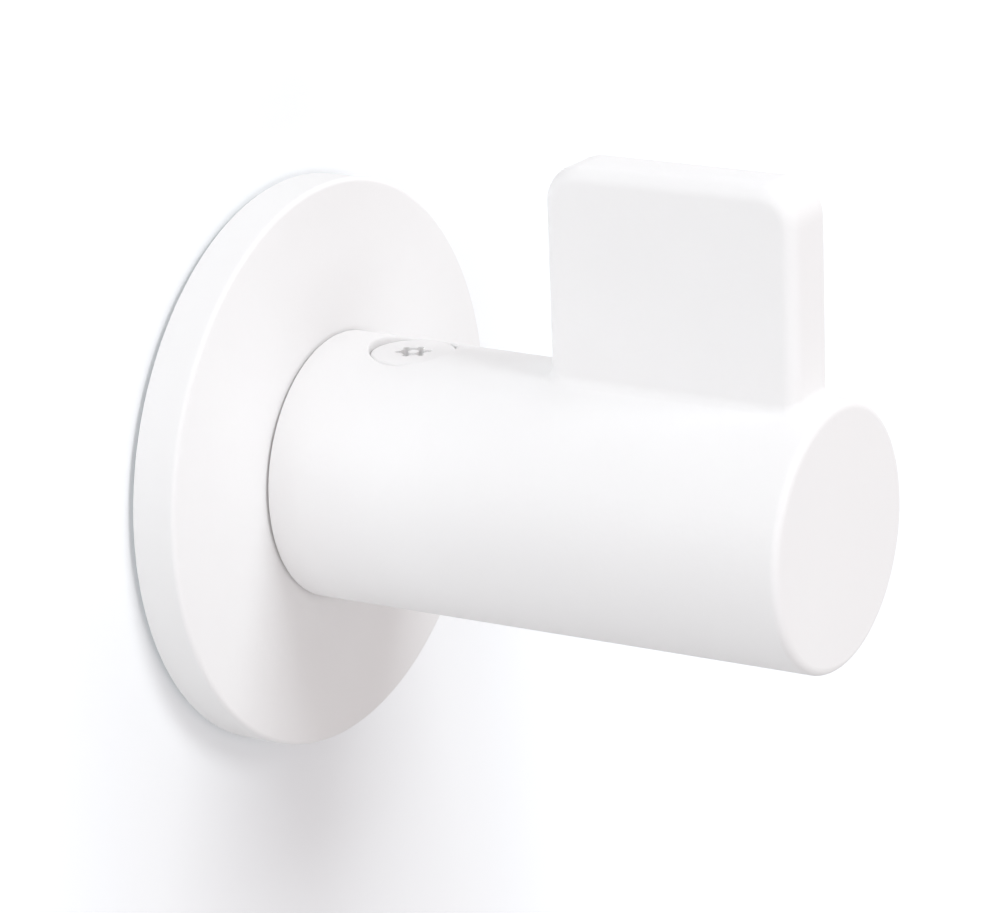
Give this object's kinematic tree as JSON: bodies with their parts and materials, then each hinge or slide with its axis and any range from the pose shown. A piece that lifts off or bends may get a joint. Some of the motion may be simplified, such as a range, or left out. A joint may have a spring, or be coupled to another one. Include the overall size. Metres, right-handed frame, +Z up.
{
  "type": "coat hook",
  "caption": "Wall coat hook: a round cover rose, a thick round peg, and an upright blade near its end that keeps a garment loop from slipping off.",
  "frame": {"origin": "on the wall, at the centre of the wall plate's back and on the peg's axis", "axes": "+Y into the wall, so the peg stands out towards -Y; +Z up, the way the blade points; +X to the right of someone facing the wall"},
  "size_m": [0.07, 0.075, 0.0766],
  "materials": {
    "bare_casting": "as cast, fine shot-blasted grain",
    "rose_powder_coat": "satin white powder coat",
    "peg_powder_coat": "satin white powder coat",
    "screw_coat": "satin white coat"
  },
  "bodies": {
    "root": {"wall_plate": "bare_casting", "cover_rose": "rose_powder_coat", "hook_peg": "peg_powder_coat", "security_screw": "screw_coat"}
  },
  "joints": []
}
